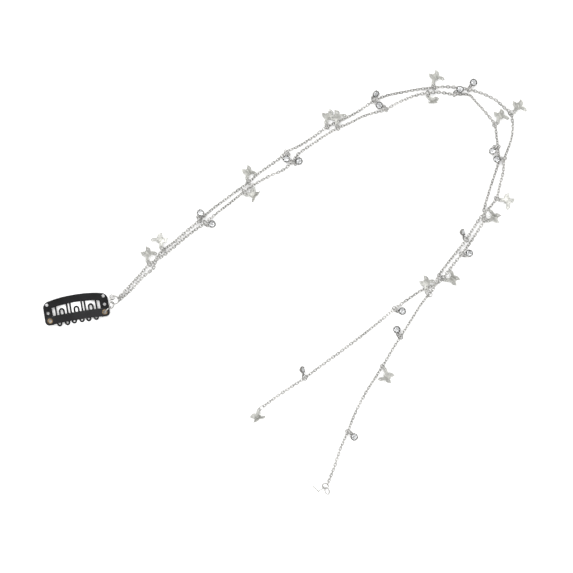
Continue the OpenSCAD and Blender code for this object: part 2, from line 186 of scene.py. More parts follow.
def tube(path, r, sides=8, closed=False, taper=None):
    """Round wire along a path: rings of sides points with parallel transport."""
    n = len(path)
    P = [Vector(p) for p in path]
    tang = []
    for i in range(n):
        a = P[(i - 1) % n] if closed or i > 0 else P[i]
        b = P[(i + 1) % n] if closed or i < n - 1 else P[i]
        tang.append((b - a).normalized())
    up = Vector((0, 0, 1))
    if abs(tang[0].dot(up)) > 0.9:
        up = Vector((1, 0, 0))
    s = tang[0].cross(up).normalized()
    frames = []
    for i in range(n):
        t = tang[i]
        s = (s - t * s.dot(t)).normalized()
        frames.append((s.copy(), t.cross(s)))
    twist = 0.0
    if closed:
        s2 = frames[-1][0]
        s2 = (s2 - tang[0] * s2.dot(tang[0])).normalized()
        twist = atan2(s2.cross(frames[0][0]).dot(tang[0]), s2.dot(frames[0][0]))
    v, f = [], []
    for i in range(n):
        k = r * (taper[i] if taper else 1)
        a0 = twist * i / n
        s, u = frames[i]
        for j in range(sides):
            a = 2 * pi * j / sides + a0
            v.append(P[i] + k * (cos(a) * s + sin(a) * u))
    m = n if closed else n - 1
    for i in range(m):
        for j in range(sides):
            a, b = i * sides + j, i * sides + (j + 1) % sides
            c, d = ((i + 1) % n) * sides + (j + 1) % sides, ((i + 1) % n) * sides + j
            f.append((a, b, c, d))
    if not closed:
        for end, d in ((0, -1), (n - 1, 1)):
            k = r * (taper[end] if taper else 1)
            # a small dome closes each end
            base = [end * sides + j for j in range(sides)]
            last = base
            for h, w in ((0.5, 0.86),):
                new = []
                for j in range(sides):
                    q = P[end] + (v[base[j]] - P[end]) * w + tang[end] * d * k * h
                    new.append(len(v))
                    v.append(q)
                for j in range(sides):
                    q = (last[j], last[(j + 1) % sides], new[(j + 1) % sides], new[j])
                    f.append(q if d > 0 else q[::-1])
                last = new
            v.append(P[end] + tang[end] * d * k)
            for j in range(sides):
                q = (last[j], last[(j + 1) % sides], len(v) - 1)
                f.append(q if d > 0 else q[::-1])
    return v, f


def loop_path(radius, n, start=0.0, span=2 * pi):
    closed = abs(span - 2 * pi) < 1e-9
    k = n if closed else n - 1
    return [(radius * cos(start + span * i / k), radius * sin(start + span * i / k), 0) for i in range(n)]


def split_ring(radius, wire, cut, n=44, sides=12):
    """A jump ring with its fine saw cut at the angle cut, in degrees."""
    gap = 0.05 / radius
    return tube(loop_path(radius, n, radians(cut) + gap / 2 + wire / 2 / radius * 0.9, 2 * pi - gap - wire / radius * 0.9), wire / 2, sides)


def lathe(profile, n=48):
    """Profile of (radius, height) turned about Z; radius 0 closes it."""
    v, f, rows = [], [], []
    for r, z in profile:
        if r < 1e-9:
            rows.append([len(v)])
            v.append((0, 0, z))
        else:
            rows.append(list(range(len(v), len(v) + n)))
            for j in range(n):
                a = 2 * pi * j / n
                v.append((r * cos(a), r * sin(a), z))
    for a, b in zip(rows, rows[1:]):
        for j in range(n):
            k = (j + 1) % n
            if len(a) == 1 and len(b) == 1:
                continue
            if len(a) == 1:
                f.append((a[0], b[k], b[j]))
            elif len(b) == 1:
                f.append((a[j], a[k], b[0]))
            else:
                f.append((a[j], a[k], b[k], b[j]))
    return v, f


def lathe_closed(profile, n=48):
    """The same for a closed ring profile that never touches the axis."""
    v, f, m = [], [], len(profile)
    for r, z in profile:
        for j in range(n):
            a = 2 * pi * j / n
            v.append((r * cos(a), r * sin(a), z))
    for i in range(m):
        for j in range(n):
            k, i2 = (j + 1) % n, (i + 1) % m
            f.append((i * n + j, i * n + k, i2 * n + k, i2 * n + j))
    return v, f


def plate(outer, holes, thick, bevel, cuts_x=(), res=2):
    """A stamped sheet with rounded edges, middle plane at z = 0: verts and faces."""
    cu = bpy.data.curves.new("tmp", "CURVE")
    cu.dimensions = "2D"
    cu.fill_mode = "BOTH"
    cu.extrude = thick / 2 - bevel
    cu.bevel_depth = bevel
    cu.bevel_resolution = res
    cu.offset = -bevel
    for loop in [outer] + list(holes):
        sp = cu.splines.new("POLY")
        sp.points.add(len(loop) - 1)
        for p, q in zip(sp.points, loop):
            p.co = (q[0], q[1], 0, 1)
        sp.use_cyclic_u = True
    ob = bpy.data.objects.new("tmp", cu)
    bpy.context.scene.collection.objects.link(ob)
    dg = bpy.context.evaluated_depsgraph_get()
    me = bpy.data.meshes.new_from_object(ob.evaluated_get(dg))
    bpy.data.objects.remove(ob)
    bpy.data.curves.remove(cu)
    bm = bmesh.new()
    bm.from_mesh(me)
    bpy.data.meshes.remove(me)
    bmesh.ops.remove_doubles(bm, verts=bm.verts, dist=1e-4)
    for x in cuts_x:
        bmesh.ops.bisect_plane(bm, geom=bm.verts[:] + bm.edges[:] + bm.faces[:], dist=1e-5,
                               plane_co=(x, 0, 0), plane_no=(1, 0, 0))
    bmesh.ops.dissolve_degenerate(bm, dist=1e-5, edges=bm.edges)
    bmesh.ops.recalc_face_normals(bm, faces=bm.faces)
    bm.verts.ensure_lookup_table()
    v = [p.co.copy() for p in bm.verts]
    f = [[q.index for q in p.verts] for p in bm.faces]
    bm.free()
    return v, f


def arc(c, r, a0, a1, n):
    return [(c[0] + r * cos(radians(a0 + (a1 - a0) * i / n)), c[1] + r * sin(radians(a0 + (a1 - a0) * i / n))) for i in range(n + 1)]


def blade(p0, r0, p1, r1, n=14):
    """Outline of two circles and their common tangents."""
    dx, dy = p1[0] - p0[0], p1[1] - p0[1]
    a = math.degrees(atan2(dy, dx))
    b = math.degrees(acos((r0 - r1) / hypot(dx, dy)))
    return arc(p1, r1, a - b, a + b, n) + arc(p0, r0, a + b, a + 360 - b, n)


def smooth_loop(points, step):
    """Closed Catmull-Rom curve; a point with a third value 1 is a sharp corner."""
    out, n = [], len(points)
    for i in range(n):
        p0, p1, p2, p3 = points[i - 1], points[i], points[(i + 1) % n], points[(i + 2) % n]
        a, b = Vector(p1[:2]), Vector(p2[:2])
        m1 = (b - a) if len(p1) > 2 else (b - Vector(p0[:2])) / 2
        m2 = (b - a) if len(p2) > 2 else (Vector(p3[:2]) - a) / 2
        k = max(2, int((b - a).length / step))
        for j in range(k):
            t = j / k
            h = (2 * t ** 3 - 3 * t * t + 1) * a + (t ** 3 - 2 * t * t + t) * m1 + (-2 * t ** 3 + 3 * t * t) * b + (t ** 3 - t * t) * m2
            out.append((h.x, h.y))
    return out


# ---------------------------------------------------------------- materials
def principled(name, base, metal, rough):
    m = bpy.data.materials.new(name)
    m.use_nodes = True
    nt = m.node_tree
    b = nt.nodes["Principled BSDF"]
    b.inputs["Base Color"].default_value = (*base, 1)
    b.inputs["Metallic"].default_value = metal
    b.inputs["Roughness"].default_value = rough
    return m, nt, b


def mottled(nt, b, lo, hi, r_lo, r_hi, scale, bump=0.0, bump_scale=None, detail=6, pos=(0.35, 0.65)):
    """Base colour and roughness wander between two values; a fine bump rides on top."""
    tc = nt.nodes.new("ShaderNodeTexCoord")
    n1 = nt.nodes.new("ShaderNodeTexNoise")
    n1.inputs["Scale"].default_value = scale
    n1.inputs["Detail"].default_value = detail
    nt.links.new(tc.outputs["Object"], n1.inputs["Vector"])
    cr = nt.nodes.new("ShaderNodeValToRGB")
    cr.color_ramp.elements[0].position, cr.color_ramp.elements[1].position = pos
    cr.color_ramp.elements[0].color = (*lo, 1)
    cr.color_ramp.elements[1].color = (*hi, 1)
    nt.links.new(n1.outputs["Fac"], cr.inputs["Fac"])
    nt.links.new(cr.outputs["Color"], b.inputs["Base Color"])
    n2 = nt.nodes.new("ShaderNodeTexNoise")
    n2.inputs["Scale"].default_value = scale * 2.7
    n2.inputs["Detail"].default_value = 4
    nt.links.new(tc.outputs["Object"], n2.inputs["Vector"])
    mr = nt.nodes.new("ShaderNodeMapRange")
    mr.inputs["From Min"].default_value = 0.3
    mr.inputs["From Max"].default_value = 0.7
    mr.inputs["To Min"].default_value = r_lo
    mr.inputs["To Max"].default_value = r_hi
    nt.links.new(n2.outputs["Fac"], mr.inputs["Value"])
    nt.links.new(mr.outputs["Result"], b.inputs["Roughness"])
    if bump:
        n3 = nt.nodes.new("ShaderNodeTexNoise")
        n3.inputs["Scale"].default_value = bump_scale or scale * 8
        n3.inputs["Detail"].default_value = 3
        nt.links.new(tc.outputs["Object"], n3.inputs["Vector"])
        bp = nt.nodes.new("ShaderNodeBump")
        bp.inputs["Strength"].default_value = 1.0
        bp.inputs["Distance"].default_value = bump
        nt.links.new(n3.outputs["Fac"], bp.inputs["Height"])
        nt.links.new(bp.outputs["Normal"], b.inputs["Normal"])


m_chain, nt, b = principled("chain_plate", (0.6, 0.6, 0.58), 1.0, 0.3)
mottled(nt, b, (0.27, 0.268, 0.255), (0.46, 0.453, 0.435), 0.24, 0.38, 260, 4e-6, 9000)
m_ring, nt, b = principled("ring_plate", (0.6, 0.6, 0.58), 1.0, 0.25)
mottled(nt, b, (0.26, 0.257, 0.245), (0.45, 0.442, 0.425), 0.2, 0.34, 320, 4e-6, 9000)
m_fly, nt, b = principled("fly_plate", (0.7, 0.7, 0.67), 1.0, 0.4)
mottled(nt, b, (0.33, 0.33, 0.312), (0.50, 0.50, 0.472), 0.36, 0.52, 420, 1.2e-5, 5200)
# cup silver: painted shade, its plate colour set far darker than the other silver plate so the cups read as dark rims
# round the stones; the mottle on top is random tone
m_cup_painted_shade, nt, b = principled("cup_plate", (0.42, 0.41, 0.39), 1.0, 0.28)
mottled(nt, b, (0.10, 0.098, 0.092), (0.24, 0.235, 0.222), 0.22, 0.36, 380, 5e-6, 9000)
m_black, nt, b = principled("black_coat", (0.02, 0.02, 0.022), 0.0, 0.42)
mottled(nt, b, (0.003, 0.003, 0.0033), (0.008, 0.008, 0.0088), 0.34, 0.52, 180, 8e-6, 5200)
b.inputs["Specular IOR Level"].default_value = 0.12
m_bar, nt, b = principled("black_spring", (0.02, 0.02, 0.022), 0.0, 0.38)
mottled(nt, b, (0.005, 0.005, 0.0055), (0.011, 0.011, 0.012), 0.3, 0.46, 150, 8e-6, 4600)
b.inputs["Specular IOR Level"].default_value = 0.16
m_brass, nt, b = principled("brass_eyelet", (0.6, 0.42, 0.2), 1.0, 0.3)
mottled(nt, b, (0.12, 0.085, 0.05), (0.30, 0.215, 0.125), 0.22, 0.4, 900, 6e-6, 6000)
m_stone, nt, b = principled("crystal", (0.96, 0.975, 1.0), 0.0, 0.03)
mottled(nt, b, (0.66, 0.67, 0.68), (0.86, 0.87, 0.88), 0.01, 0.06, 500)
b.inputs["Transmission Weight"].default_value = 0.75
b.inputs["IOR"].default_value = 1.6

# ---------------------------------------------------------------- camera, light, floor
ELEV = 86.0
DIST = 1.5
target = Vector(((286.5 - SHEET[0]) * GRID * MM, (SHEET[1] - 286.5) * GRID * MM, 0.001))
cam = bpy.data.cameras.new("camera")
cam.sensor_fit = "HORIZONTAL"
cam.sensor_width = 36
cam.lens = 36 * DIST / (573 * GRID * MM)
cam.clip_start, cam.clip_end = 0.05, 20
cam_ob = bpy.data.objects.new("camera", cam)
bpy.context.scene.collection.objects.link(cam_ob)
cam_ob.location = target + DIST * Vector((0, -cos(radians(ELEV)), sin(radians(ELEV))))
cam_ob.rotation_euler = (radians(90 - ELEV), 0, 0)
bpy.context.scene.camera = cam_ob

fm = bmesh.new()
bmesh.ops.create_grid(fm, x_segments=12, y_segments=12, size=1.6)
fme = bpy.data.meshes.new("floor")
fm.to_mesh(fme)
fm.free()
floor = bpy.data.objects.new("floor", fme)
bpy.context.scene.collection.objects.link(floor)
m_floor, nt, b = principled("floor_paper", (0.93, 0.93, 0.93), 0.0, 0.85)
mottled(nt, b, (0.925, 0.925, 0.925), (0.94, 0.94, 0.94), 0.8, 0.9, 6)
b.inputs["Specular IOR Level"].default_value = 0.1
fme.materials.append(m_floor)

world = bpy.data.worlds.new("studio")
bpy.context.scene.world = world
world.use_nodes = True
wn = world.node_tree
bg = wn.nodes["Background"]
bg.inputs["Color"].default_value = (1, 1, 1, 1)
bg.inputs["Strength"].default_value = 1.25


def area(name, loc, aim, size, power):
    li = bpy.data.lights.new(name, "AREA")
    li.shape = "SQUARE"
    li.size = size
    li.energy = power
    ob = bpy.data.objects.new(name, li)
    ob.location = loc
    ob.rotation_euler = (Vector(aim) - Vector(loc)).to_track_quat("-Z", "Y").to_euler()
    bpy.context.scene.collection.objects.link(ob)


area("key", (-0.55, 0.55, 1.1), (0, 0, 0), 0.8, 9.0)
area("fill", (0.8, -0.5, 0.9), (0, 0, 0), 0.9, 5.0)
bpy.context.scene.view_settings.view_transform = "Standard"
bpy.context.scene.view_settings.look = "None"

# ---------------------------------------------------------------- rings at the clip
CLIP_AT = at((77.75, 316.75, 0))
CLIP_TURN = 9.4
HALF = 15.75
RIVET_X = HALF - 2.43
STACK_Z = 1.6
FRAME_Z = STACK_Z - CLIP_T / 2 - 0.03
BAR_Z = STACK_Z + CLIP_T / 2 + 0.03
BOW = 1.2
CLIP = T(CLIP_AT) @ R("Z", CLIP_TURN)
BIG_R, MID_R = 2.0, 1.6
LEAD, MID_LEAD = 41, 58
eye = CLIP_AT + RIVET_X * way(CLIP_TURN) + Vector((0, 0, STACK_Z))
c1 = eye + BIG_R * (cos(radians(20)) * way(LEAD) + Vector((0, 0, sin(radians(20)))))
near2 = eye + (BIG_R * (1 + cos(radians(20))) - 0.65) * way(LEAD)
c2 = Vector((near2.x, near2.y, 1.69)) + 1.55 * way(MID_LEAD)
c3 = Vector((near2.x, near2.y, 0.85)) + 2.44 * way(MID_LEAD) + BIG_R * way(61)
M_GATHER = T(c3) @ R("Z", 61) @ R("Y", 13)

s = Soup()
s.add(*split_ring(BIG_R, LINK_WIRE, 62), T(c1) @ R("Z", LEAD) @ R("X", 90))
s.build("link_eyelet", m_ring, "silver_plate", "eyelet_ring")
s = Soup()
s.add(*split_ring(MID_R, RING_WIRE, 100), T(c2) @ R("Z", MID_LEAD) @ R("Y", 15) @ R("X", 50))
s.build("link_middle", m_ring, "silver_plate", "middle_ring")
s = Soup()
s.add(*split_ring(BIG_R, LINK_WIRE, 110), M_GATHER)
s.build("link_gather", m_ring, "silver_plate", "gather_ring")

# a spare jump ring threaded on the gather ring
lean_to = M_GATHER @ (BIG_R * way(130 - 61))
s = Soup()
inward = (c3 - lean_to)
inward.z = 0
inward.normalize()
s.add(*split_ring(1.25, RING_WIRE, 200, 36, 10), T(lean_to + 0.1 * inward) @ R("Z", math.degrees(atan2(inward.y, inward.x))) @ R("X", 28))
s.build("link_spare", m_ring, "silver_plate")

# ---------------------------------------------------------------- chains of real links
PITCH = 1.35
WIRE_R = 0.2
HALF_L, HALF_W = 0.9, 0.625      # middle line of one oval link


def link_mesh(n=18, sides=8):
    """One oval link in its own plane: X along the chain, Y across."""
    pts = []
    e = HALF_L - HALF_W
    for i in range(n):
        a = 2 * pi * i / n
        x = HALF_W * cos(a)
        pts.append((x + (e if x > 1e-6 else -e if x < -1e-6 else 0), HALF_W * sin(a) , 0))
    return tube(pts, WIRE_R, sides, closed=True)


LINK = link_mesh()


def ring_near(route, c):
    return ring_mid(route, c) - c[3] * lead_of(c)


def ring_tangent(m, p):
    """Direction of a ring's wire at point p, for a ring in the plane XY of m."""
    q = m.inverted() @ p
    return (m.to_3x3() @ Vector((-q.y, q.x, 0))).normalized()


def jump_matrix(route, c, sd):
    return T(ring_mid(route, c)) @ R("Z", c[1]) @ R("Y", -c[2]) @ R("X", 90 - sd * c[4])


def fly_side(c):
    return side_of(-c[6] * way(c[5] - 90), c)


def drop_side(c):
    return side_of(-sin(radians(c[6])) * way(c[5] + 90), c)


END_LINK = [69, -139, 12, 1.43, 75]


def spline(points, step=0.1):
    """Centripetal Catmull-Rom through the points, sampled finely."""
    P = [points[0] * 2 - points[1]] + points + [points[-1] * 2 - points[-2]]
    out = []
    for i in range(1, len(P) - 2):
        p0, p1, p2, p3 = P[i - 1], P[i], P[i + 1], P[i + 2]
        t0 = 0.0
        t1 = t0 + sqrt((p1 - p0).length)
        t2 = t1 + sqrt((p2 - p1).length)
        t3 = t2 + sqrt((p3 - p2).length)
        k = max(2, int((p2 - p1).length / step))
        for j in range(k):
            t = t1 + (t2 - t1) * j / k
            a1 = p0 * ((t1 - t) / (t1 - t0)) + p1 * ((t - t0) / (t1 - t0))
            a2 = p1 * ((t2 - t) / (t2 - t1)) + p2 * ((t - t1) / (t2 - t1))
            a3 = p2 * ((t3 - t) / (t3 - t2)) + p3 * ((t - t2) / (t3 - t2))
            b1 = a1 * ((t2 - t) / (t2 - t0)) + a2 * ((t - t0) / (t2 - t0))
            b2 = a2 * ((t3 - t) / (t3 - t1)) + a3 * ((t - t1) / (t3 - t1))
            out.append(b1 * ((t2 - t) / (t2 - t1)) + b2 * ((t - t1) / (t2 - t1)))
    out.append(points[-1])
    return out


def resample(line, stations):
    out, acc, i = [], 0.0, 0
    for s in stations:
        while i < len(line) - 2 and acc + (line[i + 1] - line[i]).length < s:
            acc += (line[i + 1] - line[i]).length
            i += 1
        d = (line[i + 1] - line[i])
        out.append((line[i] + d * ((s - acc) / max(d.length, 1e-9)), d.normalized()))
    return out


def basis(t):
    up = Vector((0, 0, 1))
    u = (up - t * up.dot(t)).normalized()
    return u.cross(t), u     # side, up


def roll_for(t, normal):
    """Roll of a link whose normal comes closest to the given direction."""
    sd, up = basis(t)
    # the link lies in t and w = cos f * side + sin f * up; its normal is t x w
    best, bf = -1, 0
    for k in range(180):
        f = radians(k)
        w = cos(f) * sd + sin(f) * up
        d = abs(t.cross(w).dot(normal))
        if d > best:
            best, bf = d, k
    return bf


def chain(name, route, start, start_t, end, end_t, phase):
    pts = [start] + [at(r) for r in route[1:-1]] + [end]
    line = spline(pts)
    total = sum((b - a).length for a, b in zip(line, line[1:]))
    seat = 0.43
    n = int(round((total - 2 * seat) / PITCH)) + 1
    pitch = (total - 2 * seat) / (n - 1)
    st = resample(line, [seat + pitch * i for i in range(n)])
    # chords, so that every link points from its neighbour to the next
    r0 = roll_for(st[0][1], start_t)
    r1 = roll_for(st[-1][1], end_t)
    drift = ((r1 - (r0 + 90 * (n - 1))) + 90) % 180 - 90
    sp = Soup()
    for i in range(n):
        p = st[i][0].copy()
        a = st[max(i - 1, 0)][0]
        b = st[min(i + 1, n - 1)][0]
        t = (b - a).normalized()
        k = i / (n - 1)
        win = min(1.0, i / 8, (n - 1 - i) / 8)
        f = r0 + 90 * i + drift * k + win * (34 * sin(i * 0.071 + phase) + 22 * sin(i * 0.19 + 2.3 * phase))
        sd, up = basis(t)
        w = cos(radians(f)) * sd + sin(radians(f)) * up
        nrm = t.cross(w)
        low = HALF_W * abs(w.z) + HALF_L * abs(t.z) * 0.4 + WIRE_R
        p.z = max(p.z, low + 0.01)
        m = Matrix(((t.x, w.x, nrm.x, p.x), (t.y, w.y, nrm.y, p.y), (t.z, w.z, nrm.z, p.z), (0, 0, 0, 1)))
        sp.add(*LINK, m)
    ob = sp.build(name, m_chain, "silver_plate", name.replace("links", "strand"), sharp=0)
    print(name, "links", n, "pitch", round(pitch, 3), "length", round(total, 1))
    return ob


def gather_point(route):
    d = M_GATHER.inverted() @ at(route[0])
    d = Vector((d.x, d.y, 0)).normalized() * BIG_R
    return M_GATHER @ d


def chain_end(route, c, sd):
    p = ring_near(route, c)
    return p, ring_tangent(jump_matrix(route, c, sd), p)


ga, gb = gather_point(ROUTE_A), gather_point(ROUTE_B)
ea = chain_end(ROUTE_A, FLIES_A[7], fly_side(FLIES_A[7]))
eb = chain_end(ROUTE_B, END_LINK, 1)
chain("chain_links_a", ROUTE_A, ga, ring_tangent(M_GATHER, ga), ea[0], ea[1], 0.4)
chain("chain_links_b", ROUTE_B, gb, ring_tangent(M_GATHER, gb), eb[0], eb[1], 1.9)

# ---------------------------------------------------------------- jump rings
RING = {}


def ring_for(r, cut):
    key = (round(r, 3), cut)
    if key not in RING:
        RING[key] = split_ring(r, RING_WIRE, cut, 36, 10)
    return RING[key]


sa, sb = Soup(), Soup()
for k, c in enumerate(FLIES_A):
    sa.add(*ring_for(c[3], (100, 250)[k % 2]), jump_matrix(ROUTE_A, c, fly_side(c)))
for k, c in enumerate(DROPS_A):
    sa.add(*ring_for(c[3], (250, 100)[k % 2]), jump_matrix(ROUTE_A, c, drop_side(c)))
for k, c in enumerate(FLIES_B):
    sb.add(*ring_for(c[3], (100, 250)[k % 2]), jump_matrix(ROUTE_B, c, fly_side(c)))
for k, c in enumerate(DROPS_B):
    sb.add(*ring_for(c[3], (250, 100)[k % 2]), jump_matrix(ROUTE_B, c, drop_side(c)))
sb.add(*ring_for(END_LINK[3], 100), jump_matrix(ROUTE_B, END_LINK, 1))
sb.add(*split_ring(1.6, RING_WIRE, 90, 36, 10), T(at((327, 490.6, 1.5))) @ R("Z", 105) @ R("X", 50))
sa.build("rings_a", m_ring, "silver_plate", "jump_rings_a")
sb.build("rings_b", m_ring, "silver_plate", "jump_rings_b")

# ---------------------------------------------------------------- butterflies
WING = smooth_loop([(0.05, 0.95, 1), (0.6, 1.2), (1.25, 1.72), (1.95, 2.5), (2.4, 3.08), (2.95, 3.27), (3.93, 3.2, 1),
                    (3.9, 2.5), (3.78, 1.85), (3.4, 1.3), (2.95, 0.95), (2.45, 0.55), (2.02, -0.02, 1),
                    (2.5, -0.42), (2.82, -0.95), (2.9, -1.5), (2.68, -2.2), (2.16, -3.4, 1),
                    (1.5, -2.78), (0.82, -2.3), (0.5, -1.85), (0.28, -1.2), (0.05, -0.85, 1)], 0.16)
HOLE_F = arc(FLY_EYE, 0.6, 0, 345, 23)
HOLE_SMALL = arc((3.0, 2.4), 0.3, 0, 330, 11)
HOLE_F2 = blade((1.3, 1.02), 0.16, (1.72, 1.36), 0.22, 8)
HOLE_H = blade((1.5, -1.25), 0.2, (1.75, -1.62), 0.24, 8)
PIERCED = [arc(q, r, 0, 330, 11) for q, r in (((2.18, 2.35), 0.13), ((2.5, 1.33), 0.11), ((3.5, 2.95), 0.12), ((2.16, -1.0), 0.12),
                                               ((2.05, -2.3), 0.13), ((1.35, -2.05), 0.12), ((0.95, -0.85), 0.11), ((2.05, 1.9), 0.1))]
WING_PLATE = plate(WING, [HOLE_F, HOLE_F2, HOLE_H] + PIERCED, 0.28, 0.04)
WING_FREE = plate(WING, [HOLE_SMALL, HOLE_F2, HOLE_H] + PIERCED, 0.28, 0.04)


def inset(loop, d):
    """A loop moved inwards by d, for the beads that run along an edge."""
    n, out = len(loop), []
    area2 = sum(loop[i][0] * loop[(i + 1) % n][1] - loop[(i + 1) % n][0] * loop[i][1] for i in range(n))
    sg = 1 if area2 > 0 else -1
    for i in range(n):
        a, b = Vector(loop[i - 1]), Vector(loop[(i + 1) % n])
        t = (b - a)
        if t.length < 1e-9:
            continue
        t.normalize()
        out.append((loop[i][0] - sg * t.y * d, loop[i][1] + sg * t.x * d, 0))
    return out


RIM = tube(inset(WING, 0.17), 0.18, 8, closed=True)
RIM_F = tube(inset(HOLE_F, -0.12), 0.17, 8, closed=True)
RIM_SMALL = tube(inset(HOLE_SMALL, -0.1), 0.15, 6, closed=True)
RIM_H = tube(inset(HOLE_H, -0.1), 0.16, 6, closed=True)
VEINS = [tube([(0.5, 0.55, 0.02), (0.9, 0.78, 0.03), (1.2, 0.9, 0.02), (2.0, 1.25, 0.02), (2.6, 1.6, 0.01)], 0.16, 6, taper=[1.1, 1.05, 1, 0.95, 0.9]),
         tube([(0.5, 0.75, 0.02), (1.1, 1.32, 0.03), (1.7, 1.85, 0.02), (2.4, 2.55, 0.01)], 0.16, 6, taper=[1.1, 1.05, 1, 0.9]),
         tube([(0.5, -0.35, 0.02), (0.95, -0.7, 0.03), (1.6, -0.85, 0.02), (2.3, -1.25, 0.01)], 0.15, 6, taper=[1.1, 1, 1, 0.9]),
         tube([(0.5, -0.5, 0.02), (0.95, -1.3, 0.03), (1.35, -1.75, 0.02), (1.75, -2.35, 0.02), (2.05, -3.1, 0.01)], 0.15, 6, taper=[1.1, 1, 1, 1, 0.8])]


def fly_body():
    prof = []
    for y, r in ((-2.1, 0.0), (-2.06, 0.14), (-1.95, 0.25), (-1.78, 0.33), (-1.6, 0.36), (-1.48, 0.30), (-1.36, 0.36), (-1.18, 0.39),
                 (-1.06, 0.33), (-0.94, 0.38), (-0.74, 0.4), (-0.62, 0.34), (-0.48, 0.38), (-0.2, 0.4), (0.2, 0.42), (0.5, 0.4),
                 (0.72, 0.33), (0.86, 0.27), (0.96, 0.31), (1.1, 0.38), (1.28, 0.4), (1.44, 0.35), (1.55, 0.22), (1.6, 0.0)):
        prof.append((r, y))
    return lathe(prof, 16)


BODY = fly_body()
HORN = tube([(0.14, 1.42, 0.12), (0.3, 1.85, 0.22), (0.5, 2.2, 0.26), (0.74, 2.42, 0.24)], 0.085, 6, taper=[1, 0.95, 0.9, 1.25])


def butterfly(sp, m, fold, held):
    """held is the wing that hangs on the ring: 1 right, -1 left, 0 both."""
    mir = Matrix.Scale(-1, 4, Vector((1, 0, 0)))
    for k in (0, 1):
        w = (m @ mir if k else m) @ R("Y", -fold)
        big = held == 0 or held == (-1 if k else 1)
        sp.add(*(WING_PLATE if big else WING_FREE), w)
        sp.add(*RIM, w)
        sp.add(*(RIM_F if big else RIM_SMALL), w)
        sp.add(*RIM_H, w)
        for q in VEINS:
            sp.add(*q, w)
        sp.add(*HORN, m @ mir if k else m)
    sp.add(*BODY, m @ R("X", -90))


def hung_fly(route, c):
    e = FLY_EYE[0]
    return T(hook(route, c)) @ R("Z", c[5] - 90) @ R("X", c[9]) \
        @ T((-c[6] * e * cos(radians(c[8])), -FLY_EYE[1], -e * sin(radians(c[8])))) @ R("Y", c[6] * (c[7] - c[8]))


for tag, route, rows in (("a", ROUTE_A, FLIES_A), ("b", ROUTE_B, FLIES_B)):
    for i, c in enumerate(rows):
        s = Soup()
        butterfly(s, hung_fly(route, c), c[7], c[6])
        s.build("fly_%s%d" % (tag, i + 1), m_fly, "silver_plate", "butterfly_%s%d" % (tag, i + 1), sharp=40)
s = Soup()
butterfly(s, T(at((318.2, 491, 3.35))) @ R("Z", 86 - 90) @ R("X", -90), 40, 0)
s.build("fly_b9", m_fly, "silver_plate", "butterfly_b9", sharp=40)

# ---------------------------------------------------------------- crystal drops
REACH, EYE_Z, CUP_R = 2.35, 1.41, 1.75
CUP = lathe([(0, 0), (0.68, 0), (0.75, 0.04), (0.95, 0.22), (1.25, 0.56), (1.5, 0.92), (CUP_R - 0.16, 1.05), (CUP_R - 0.03, 1.2), (CUP_R, 1.28),
             (CUP_R, 1.58), (CUP_R - 0.05, 1.65), (CUP_R - 0.2, 1.65), (CUP_R - 0.25, 1.6), (CUP_R - 0.25, 1.34), (CUP_R - 0.3, 1.28),
             (0.55, 0.34), (0.45, 0.3), (0, 0.3)], 40)
EYE_LOOP = tube(loop_path(0.65, 28), 0.175, 10, closed=True)
CLAW = tube([(CUP_R - 0.1, 0, 1.1), (CUP_R - 0.02, 0, 1.45), (CUP_R - 0.06, 0, 1.72), (CUP_R - 0.22, 0, 1.87), (CUP_R - 0.42, 0, 1.84)],
            0.19, 8, taper=[0.9, 1, 1, 0.95, 0.85])


def brilliant():
    v, f = [], []

    def ringv(n, r, z, off):
        k = len(v)
        for j in range(n):
            a = 2 * pi * (j + off) / n
            v.append((r * cos(a), r * sin(a), z))
        return list(range(k, k + n))

    r = 1.39
    table = ringv(8, 0.78, 1.98, 0.0)
    star = ringv(8, 1.12, 1.80, 0.5)
    top = ringv(16, r, 1.52, 0.0)
    bot = ringv(16, r, 1.42, 0.0)
    pav = ringv(8, 0.72, 0.90, 0.5)
    cul = len(v)
    v.append((0, 0, 0.42))
    f.append(tuple(table))
    for j in range(8):
        k = (j + 1) % 8
        f.append((table[j], star[j], table[k]))                       # star
        f.append((table[j], star[j - 1], top[2 * j], star[j]))        # kite
        f.append((star[j], top[2 * j], top[2 * j + 1]))               # upper girdle
        f.append((star[j], top[2 * j + 1], top[(2 * j + 2) % 16]))
        f.append((pav[j], bot[2 * j + 1], bot[2 * j]))
        f.append((pav[j], bot[(2 * j + 2) % 16], bot[2 * j + 1]))
        f.append((cul, pav[j], bot[2 * j], pav[j - 1]))
    for j in range(16):
        k = (j + 1) % 16
        f.append((top[j], bot[j], bot[k], top[k]))
    bm = bmesh.new()
    vs = [bm.verts.new(p) for p in v]
    for q in f:
        bm.faces.new([vs[i] for i in q])
    bmesh.ops.recalc_face_normals(bm, faces=bm.faces)
    bm.verts.index_update()
    out = [p.co.copy() for p in bm.verts], [[q.index for q in p.verts] for p in bm.faces]
    bm.free()
    return out


STONE = brilliant()


def hung(route, c):
    return T(hook(route, c)) @ R("Z", c[5]) @ R("Y", c[7]) @ R("X", c[6])


for tag, route, rows in (("a", ROUTE_A, DROPS_A), ("b", ROUTE_B, DROPS_B)):
    st = Soup()
    for i, c in enumerate(rows):
        m = hung(route, c)
        base = m @ T((REACH, 0, -EYE_Z))
        s = Soup()
        s.add(*CUP, base)
        for a in (45, 135, 225, 315):
            s.add(*CLAW, base @ R("Z", a))
        s.add(*EYE_LOOP, m)
        s.build("cup_%s%d" % (tag, i + 1), m_cup_painted_shade, "silver_plate", "drop_%s%d" % (tag, i + 1), sharp=45)
        st.add(*STONE, base @ R("Z", 11 * i), smooth=False)
    st.build("cut_stones_%s" % tag, m_stone, "crystal", "stones_%s" % tag, sharp=0)

# ---------------------------------------------------------------- comb clip
TOP_R, TOP_Y, CORNER, FOOT_Y = 59.1, 10.9, 3.2, -2.05
CORNER_X = HALF - CORNER
ARCH_C = TOP_Y - TOP_R
CORNER_Y = ARCH_C + sqrt((TOP_R - CORNER) ** 2 - CORNER_X ** 2)
W = 0.8


